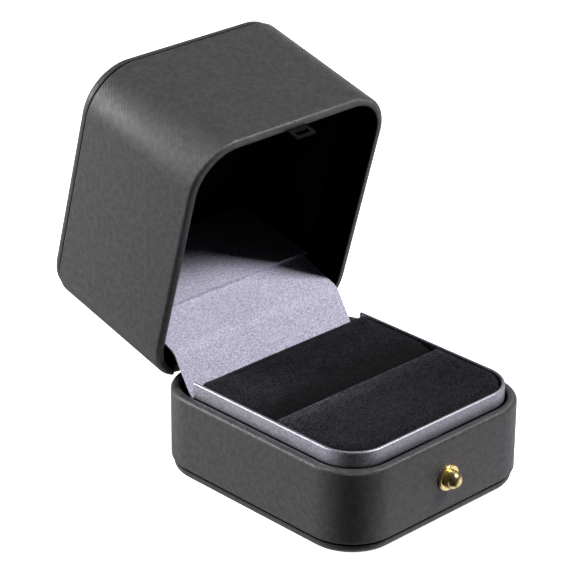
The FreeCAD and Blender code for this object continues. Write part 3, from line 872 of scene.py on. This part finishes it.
front_roll = roll_body("front_roll", (insert_left, front_low.y + 0.1 * MM), (insert_right, front_high.y),
                       (0.5 * MM, 0.5 * MM, collar_corner, collar_corner),
                       (0.6 * MM, 1.1 * MM, 1.8 * MM, 1.1 * MM), front_top)
rear_roll = roll_body("rear_roll", (insert_left, rear_low.y), (insert_right, rear_high.y),
                      (0.6 * MM,) * 4, (1.1 * MM, 1.1 * MM, 1.6 * MM, 1.1 * MM), rear_top)
for seed, (roll, node) in enumerate([(front_roll, "front_velvet_roll"), (rear_roll, "rear_velvet_roll")]):
    swell(roll, velvet_voxel, swell_limit)
    if node == "front_velvet_roll":
        cut_away(roll, [block((catch_low.x - MM, front_low.y - MM, roll_floor - MM),
                              (catch_high.x + MM, catch_high.y + 3.4 * MM, catch_high.z + 0.6 * MM))])
        # Lighter along the front bar's lip at the slot: pile lightened by wear and a painted highlight.
        note_points(roll, "nap_and_painted_light", [0.72 + 2.3 * math.exp(-(front_high.y - v.co.y) / (3 * MM))
                                  for v in roll.data.vertices])
    else:
        # Painted shadow on the rear bar, darkest down by the slot under the front bar's lip.
        note_points(roll, "nap_and_painted_light", [0.8 - 0.58 * fade(v.co.y - rear_low.y, 12 * MM, MM)
                                  for v in roll.data.vertices])
    add_pile(roll, velvet, seed + 1)
    roll.data.shade_smooth()
    stands_for(roll, "base", "velvet", node)

# The lid's lining: a strip of card in black cloth round the front and sides, its lower edge a
# finger's width inside the rim, and a thin cloth-covered pad glued under the top.

lining_low, lining_high = shut_box("lid_lining")
pad_low, pad_high = shut_box("lid_ceiling_pad")
panel_low, panel_high = shut_box("lid_back_panel")
lining_card = 0.7 * MM
lining_cloth = velvet_material("lining_cloth", (0.0022, 0.0022, 0.003, 1), (0.0055, 0.0055, 0.0075, 1), 0.03)

lining = swept("lining_strip", filleted([
    (-wall, lid_top - lining_high.z, 0),
    (-wall, lid_top - lining_low.z, 0.2 * MM),
    (-wall - lining_card, lid_top - lining_low.z, 0.3 * MM),
    (-wall - lining_card, lid_top - lining_high.z, 0),
]), plan_size, lining_cloth, turned_over=lid_top)
facing_out(lining)
note_points(lining, "nap_and_painted_light", [1.0] * len(lining.data.vertices))
cut_away(lining, [block((base_low.x, lining_high.y, lid_rim), (base_high.x, back_face, lid_top))])
smooth_shaded(lining)
lining.data.transform(to_open)
stands_for(lining, "lid", "lining_cloth", "lid_lining")

pad_rounding = 1.1 * MM
pad_clear = 0.2 * MM
pad_voxel = 0.6 * MM
pad_limit = 0.2 * MM
pad_thickness = pad_high.z - pad_low.z


def pad_top(at):
    """The pad's belly, fullest in the middle."""
    across, along = at.x / pad_high.x, (at.y - (pad_low.y + pad_high.y) / 2) / (pad_high.y - pad_low.y) * 2
    return roll_floor + pad_thickness - 0.3 * MM - 0.5 * MM * (across ** 2 + along ** 2)


pad_corner = corner_radius - wall - lining_card
ceiling = roll_body("ceiling_pad", (pad_low.x + pad_clear, -pad_high.y + pad_clear),
                    (pad_high.x - pad_clear, -pad_low.y - pad_clear),
                    (pad_corner, pad_corner, 0.6 * MM, 0.6 * MM), (pad_rounding,) * 4, pad_top)
ceiling.data.transform(Matrix.Translation((0, 0, roll_floor + pad_high.z)) @ Matrix.Rotation(math.pi, 4, "X"))
swell(ceiling, pad_voxel, pad_limit)
note_points(ceiling, "nap_and_painted_light", [1.0] * len(ceiling.data.vertices))
ceiling.data.materials.clear()
ceiling.data.materials.append(lining_cloth)
ceiling.data.shade_smooth()
ceiling.data.transform(to_open)
stands_for(ceiling, "lid", "lining_cloth", "lid_ceiling_pad")

# The satin that hides the hinge: a limp flap from behind the insert, creased at the lid's rim
# and carried on into the lid, where it meets the satin-covered card of the back panel.


def satin_sheet(name, path, half_width, thickness, rows, buckle=0.0):
    """A strip of satin along a path of (y, z) points, mapped in metres and given its thickness."""
    lengths = [0.0]
    for a, b in zip(path, path[1:]):
        lengths.append(lengths[-1] + (Vector(b) - Vector(a)).length)
    shape = bmesh.new()
    chart = shape.loops.layers.uv.new("UVMap")
    columns = 60
    grid = []
    for row in range(rows + 1):
        run = lengths[-1] * row / rows
        k = max(i for i in range(len(path) - 1) if lengths[i] <= run + 1e-9)
        share = (run - lengths[k]) / (lengths[k + 1] - lengths[k])
        at = Vector(path[k]).lerp(Vector(path[k + 1]), share)
        side = (Vector(path[k + 1]) - Vector(path[k])).normalized()
        slack = math.sin(math.pi * row / rows)
        line = []
        for column in range(columns + 1):
            x = half_width * (2 * column / columns - 1)
            wave = math.sin(x / (4.1 * MM) + 0.7) + 0.6 * math.sin(x / (2.3 * MM) + run / (3 * MM))
            lift = buckle * slack * wave
            line.append((shape.verts.new((x, at.x - side.y * lift, at.y + side.x * lift)), (x, run)))
        grid.append(line)
    for lower, upper in zip(grid, grid[1:]):
        for i in range(columns):
            corners = (lower[i], lower[i + 1], upper[i + 1], upper[i])
            face = shape.faces.new([corner[0] for corner in corners])
            for loop, corner in zip(face.loops, corners):
                loop[chart].uv = corner[1]
    mesh = bpy.data.meshes.new(name)
    shape.to_mesh(mesh)
    shape.free()
    piece = add_object(name, mesh)
    skin = piece.modifiers.new("skin", "SOLIDIFY")
    skin.thickness = thickness
    skin.offset = -1.0
    bake(piece)
    piece.data.materials.append(satin)
    return smooth_shaded(piece, 60)


flap_low, flap_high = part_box("hinge_flap")


def flap_line():
    """The flap's face as the CAD sheet has it: foot, crease at the rim, and head."""
    edge = [v.co for v in nodes["hinge_flap"].data.vertices if abs(v.co.x - flap_low.x) < 1e-6]
    return sorted({(round(co.y, 6), round(co.z, 6)) for co in edge})


corners = flap_line()
foot, head = corners[0], max(corners, key=lambda p: p[0] + p[1])
flap_thickness = 0.4 * MM
slope = (head[1] - foot[1]) / (head[0] - foot[0])
crease = max(corners, key=lambda p: (p[1] - foot[1]) - (p[0] - foot[0]) * slope)
bend = 1.2 * MM
near = Vector(crease) + (Vector(foot) - Vector(crease)).normalized() * bend
far = Vector(crease) + (Vector(head) - Vector(crease)).normalized() * bend
middle = (near + far) / 4 + Vector(crease) / 2
tucked = Vector(head) + (Vector(head) - Vector(crease)).normalized() * 0.35 * MM
flap = satin_sheet("satin_flap", [foot, tuple(near), tuple(middle), tuple(far), tuple(tucked)],
                   flap_high.x, flap_thickness, 44, buckle=0.10 * MM)
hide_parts("hinge_flap")
flap_length = sum((Vector(a) - Vector(b)).length for a, b in zip([foot, crease], [crease, head]))
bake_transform(flap)

panel_edge = [to_shut @ v.co for v in nodes["lid_back_panel"].data.vertices]
panel_foot = min((p for p in panel_edge if abs(p.z - panel_low.z) < 1e-5), key=lambda p: p.y)
panel_head = min((p for p in panel_edge if abs(p.z - panel_high.z) < 1e-5), key=lambda p: p.y)
panel = satin_sheet("satin_back_panel", [(panel_head.y, panel_head.z), (panel_foot.y, panel_foot.z)],
                    panel_high.x - 0.1 * MM, 0.9 * MM, 24)
panel.data.transform(to_open)
stands_for(panel, "lid", "satin", "lid_back_panel")

# The push button: a dome and its stem turned from brass, in a turned brass bezel whose flange
# bears on the leatherette. Both are polished and gilded, with faint rings left by the tool.


def gilt_material():
    made = Recipe("gilt_brass")
    place = made.place()
    split = made.node("ShaderNodeSeparateXYZ", Vector=place)
    middle = (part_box("push_button")[0].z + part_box("push_button")[1].z) / 2
    rise = made.sum("SUBTRACT", split.outputs[2], middle)
    squares = made.sum("ADD", made.sum("POWER", split.outputs[0], 2.0), made.sum("POWER", rise, 2.0))
    radius = made.sum("SQRT", squares)
    rings = made.sum("SINE", made.sum("MULTIPLY", radius, 2 * math.pi / (0.09 * MM)))
    smear = made.noise(place, 0.8 * MM, 3.0)
    scratch = made.noise(place, 0.15 * MM, 2.0, stretch=(0.2, 1, 1.4))
    colour = made.blend(made.ramp(smear, 0.35, 0.7), (0.95, 0.80, 0.40, 1), (0.84, 0.62, 0.22, 1))
    made.bumps((rings, 0.0012 * MM), (scratch, 0.003 * MM))
    return made.finish(Base_Color=colour, Roughness=made.ramp(smear, 0.3, 0.75, 0.2, 0.32), Metallic=0.92)


dress(gilt_material(), "push_button", "button_bezel")

# The steel fittings: the sprung hinge and its rivets in the back walls, the nut, catch and clip
# behind the button, and the blackened strike in the lid. Pressed, turned or drawn, then plated.


def steel_material(name, light, dark, rough, grain_stretch, metallic=1.0, specular=0.5):
    """Brushed or drawn metal under a thin plating; an oxide finish has no metallic shine."""
    made = Recipe(name)
    place = made.place()
    brushed = made.noise(place, 0.35 * MM, 3.0, stretch=grain_stretch)
    plating = made.noise(place, 2.0 * MM, 3.0)
    colour = made.blend(made.ramp(plating, 0.3, 0.7), light, dark)
    made.bumps((brushed, 0.006 * MM))
    return made.finish(Base_Color=colour, Roughness=made.ramp(brushed, 0.3, 0.7, rough, rough + 0.15),
                       Metallic=metallic, Specular_IOR_Level=specular)


zinc = steel_material("zinc_plate", (0.62, 0.62, 0.60, 1), (0.46, 0.46, 0.46, 1), 0.28, (0.12, 1, 1))
wire = steel_material("drawn_wire", (0.50, 0.50, 0.50, 1), (0.36, 0.36, 0.37, 1), 0.22, (1, 1, 1))
blackened = steel_material("blackened_steel", (0.008, 0.008, 0.009, 1), (0.004, 0.004, 0.005, 1),
                           0.6, (0.12, 1, 1), metallic=0.0, specular=0.1)
dress(zinc, "bezel_nut", "catch_plate", "hinge_base_leaf", "hinge_lid_leaf", "hinge_pin",
      "hinge_base_rivets", "hinge_lid_rivets")
dress(wire, "hinge_spring", "stem_clip")
dress(blackened, "lid_strike", "strike_rivets")

coil_wire = bmesh.new()
coil_wire.from_mesh(nodes["button_spring"].data)
bmesh.ops.remove_doubles(coil_wire, verts=coil_wire.verts, dist=0.001 * MM)
coil_mesh = bpy.data.meshes.new("button_coil")
coil_wire.to_mesh(coil_mesh)
coil_wire.free()
coil_mesh.materials.clear()
coil_mesh.materials.append(wire)
button_coil = smooth_shaded(add_object("button_coil", coil_mesh))
stands_for(button_coil, "base", "spring_steel", "button_spring")
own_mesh(button_coil)

# The table and the studio: a plain white table, two soft boxes at the sides, and a pale
# surround that is left dark in front, so that the corner towards the viewer falls away.

floor_mesh = bpy.data.meshes.new("floor")
reach = 3.0
floor_corners = [(-reach, -reach, 0), (reach, -reach, 0), (reach, reach, 0), (-reach, reach, 0)]
floor_mesh.from_pydata(floor_corners, [], [(0, 1, 2, 3)])
floor = add_object("floor", floor_mesh)
table_top = Recipe("white_table")
speckle = table_top.noise(table_top.place(), 1.5 * MM, 2.0)
table_top.finish(Base_Color=table_top.blend(speckle, (0.92, 0.92, 0.93, 1), (0.96, 0.96, 0.965, 1)),
                 Roughness=0.7, Specular_IOR_Level=0.1,
                 Emission_Color=(1, 1, 1, 1), Emission_Strength=1.0)
floor_mesh.materials.append(table_top.material)
floor.visible_glossy = False
floor.visible_diffuse = False
floor.visible_shadow = False


def soft_box(name, azimuth, elevation, distance, size, energy):
    """A square light aimed at the box; azimuth 0 is in front of it and 90 at its right."""
    light = bpy.data.lights.new(name, "AREA")
    light.shape = "SQUARE"
    light.size = size
    light.energy = energy
    lamp = bpy.data.objects.new(name, light)
    scene.collection.objects.link(lamp)
    a, e = math.radians(azimuth), math.radians(elevation)
    away = Vector((math.sin(a) * math.cos(e), -math.cos(a) * math.cos(e), math.sin(e)))
    target = Vector((0, 0, 40 * MM))
    facing = away.to_track_quat("Z", "Y").to_matrix().to_4x4()
    lamp.matrix_world = Matrix.Translation(target + away * distance) @ facing


soft_box("key_light", 44, 47, 0.9, 0.18, 8.0)
soft_box("left_light", -139, 20, 0.8, 0.3, 7.0)

world = bpy.data.worlds.new("studio")
scene.world = world
world.use_nodes = True
sky = world.node_tree
direction = sky.nodes.new("ShaderNodeTexCoord").outputs["Generated"]


def sky_sum(operation, first, second):
    node = sky.nodes.new("ShaderNodeMath")
    node.operation = operation
    for socket, value in zip(node.inputs, (first, second)):
        if isinstance(value, (int, float)):
            socket.default_value = value
        else:
            sky.links.new(value, socket)
    return node.outputs[0]


def glow(azimuth, elevation, inner, outer, strength):
    """A soft bright patch of the surround, full within inner degrees and gone at outer."""
    a, e = math.radians(azimuth), math.radians(elevation)
    dot = sky.nodes.new("ShaderNodeVectorMath")
    dot.operation = "DOT_PRODUCT"
    sky.links.new(direction, dot.inputs[0])
    dot.inputs[1].default_value = (math.sin(a) * math.cos(e), -math.cos(a) * math.cos(e), math.sin(e))
    patch = sky.nodes.new("ShaderNodeMapRange")
    patch.interpolation_type = "SMOOTHSTEP"
    sky.links.new(dot.outputs["Value"], patch.inputs["Value"])
    patch.inputs["From Min"].default_value = math.cos(math.radians(outer))
    patch.inputs["From Max"].default_value = math.cos(math.radians(inner))
    return sky_sum("MULTIPLY", patch.outputs[0], strength)


light_level = sky_sum("ADD", glow(-138, -24, 28, 52, 0.74), glow(54, -28, 18, 44, 1.05))
low_patches = sky_sum("ADD", glow(128, -18, 10, 38, 0.9), glow(0, -90, 10, 34, 1.0))
light_level = sky_sum("ADD", light_level, low_patches)
light_level = sky_sum("ADD", light_level, glow(116, 46, 8, 34, 0.48))
light_level = sky_sum("ADD", light_level, 0.012)
seen = sky_sum("MULTIPLY", sky.nodes.new("ShaderNodeLightPath").outputs["Is Camera Ray"], 1.2)
light_level = sky_sum("MAXIMUM", light_level, seen)
sky.links.new(light_level, sky.nodes["Background"].inputs["Strength"])
sky.nodes["Background"].inputs["Color"].default_value = (0.99, 0.965, 1.02, 1)
scene.view_settings.view_transform = "Standard"

# The camera: a long lens a little over half a metre away, looking down at the front left corner
# of the open box. It stays put, so that every pose is seen from one place.

camera_data = bpy.data.cameras.new("camera")
camera_data.lens = 161.64
camera_data.sensor_width = 36.0
camera_data.clip_start = 0.01
camera = bpy.data.objects.new("camera", camera_data)
scene.collection.objects.link(camera)
camera_right = Vector((0.71844, -0.69556, 0.00637))
camera_up = Vector((0.28902, 0.30683, 0.90682))
camera_back = Vector((-0.63271, -0.64965, 0.42147))
turned = Matrix((camera_right, camera_up, camera_back)).transposed().to_4x4()
camera.matrix_world = Matrix.Translation(Vector((-371.94, -363.21, 287.63)) * MM) @ turned
scene.camera = camera
